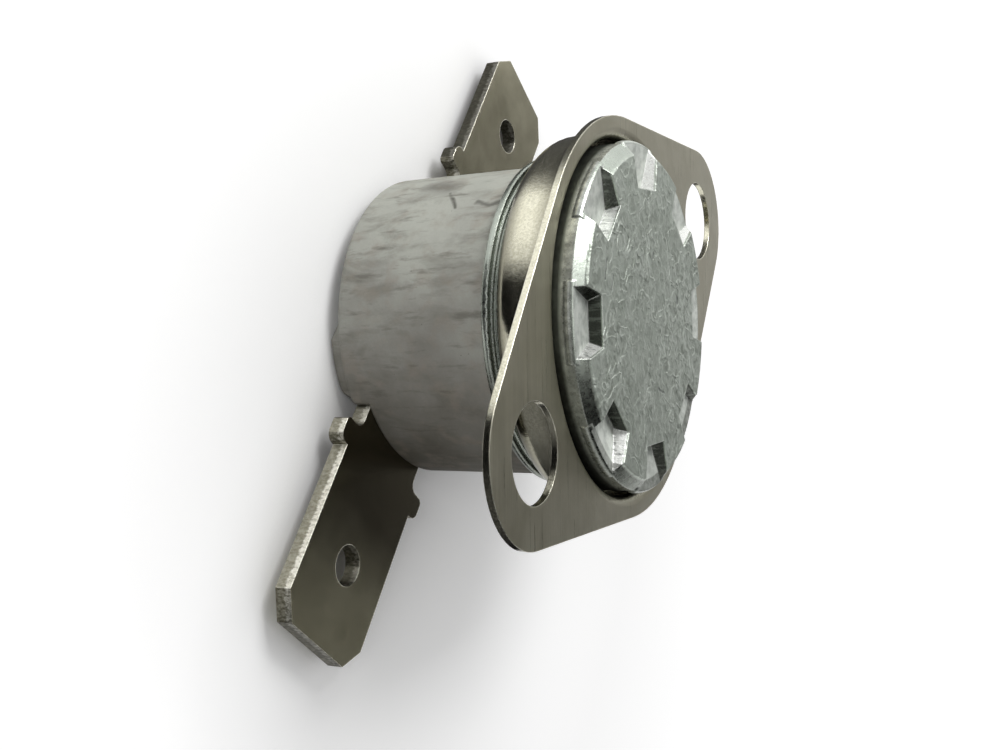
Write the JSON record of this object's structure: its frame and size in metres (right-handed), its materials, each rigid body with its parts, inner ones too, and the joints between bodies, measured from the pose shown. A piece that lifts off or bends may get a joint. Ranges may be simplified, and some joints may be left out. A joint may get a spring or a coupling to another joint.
{
  "type": "snap-disc high limit thermostat",
  "caption": "Round thermal cut-out: ceramic body, aluminium sensing cap, turning two-hole bracket and two flat tab terminals.",
  "frame": {"origin": "midway between the two bracket holes, on the bracket's front plane", "axes": "+Z out of the sensing face, +X along the line of the bracket holes"},
  "size_m": [0.0344, 0.0198, 0.0134],
  "materials": {
    "steatite": "fired, unglazed, handled and grimy",
    "cap_aluminium": "stamped, scuffed, matt",
    "plated_steel": "nickel plated, drawn cup bright, face finely brushed",
    "bimetal": "rolled, matt",
    "guide_ceramic": "fired, unglazed",
    "spring_copper": "rolled spring strip",
    "silver": "turned silver alloy",
    "brass_strip": "stamped strip",
    "plated_brass": "nickel plated, rolled, tarnished",
    "rivet_brass": "headed and clinched"
  },
  "bodies": {
    "housing": {"ceramic_base": "steatite", "sensing_cap": "cap_aluminium", "bimetal_disc": "bimetal", "guide_plate": "guide_ceramic", "contact_arm": "spring_copper", "contact_carrier": "brass_strip", "fixed_contact": "silver", "lower_terminal": "plated_brass", "upper_terminal": "plated_brass", "lower_rivet": "rivet_brass", "upper_rivet": "rivet_brass"},
    "bracket": {"mounting_bracket": "plated_steel"},
    "pin": {"push_pin": "guide_ceramic"},
    "contact": {"moving_contact": "silver"}
  },
  "joints": [
    {"name": "bracket_turn", "type": "hinge", "parent": "housing", "child": "bracket", "pos_m": [0, 0, 0], "axis": [0, 0, 1], "continuous": true},
    {"name": "pin_push", "type": "slide", "parent": "housing", "child": "pin", "axis": [0, 0, -1], "range_m": [0, 0.00025], "stiffness_N_per_m": 2, "deforming": ["contact_arm", "bimetal_disc"]},
    {"name": "contact_swing", "type": "hinge", "parent": "housing", "child": "contact", "pos_m": [0.00454, 0.00209, -0.006], "axis": [0.4187, -0.9081, 0], "range_deg": [0, 3]}
  ],
  "couplings": [
    {"joint": "contact_swing", "follows": "pin_push", "rad_per_m": 200}
  ]
}
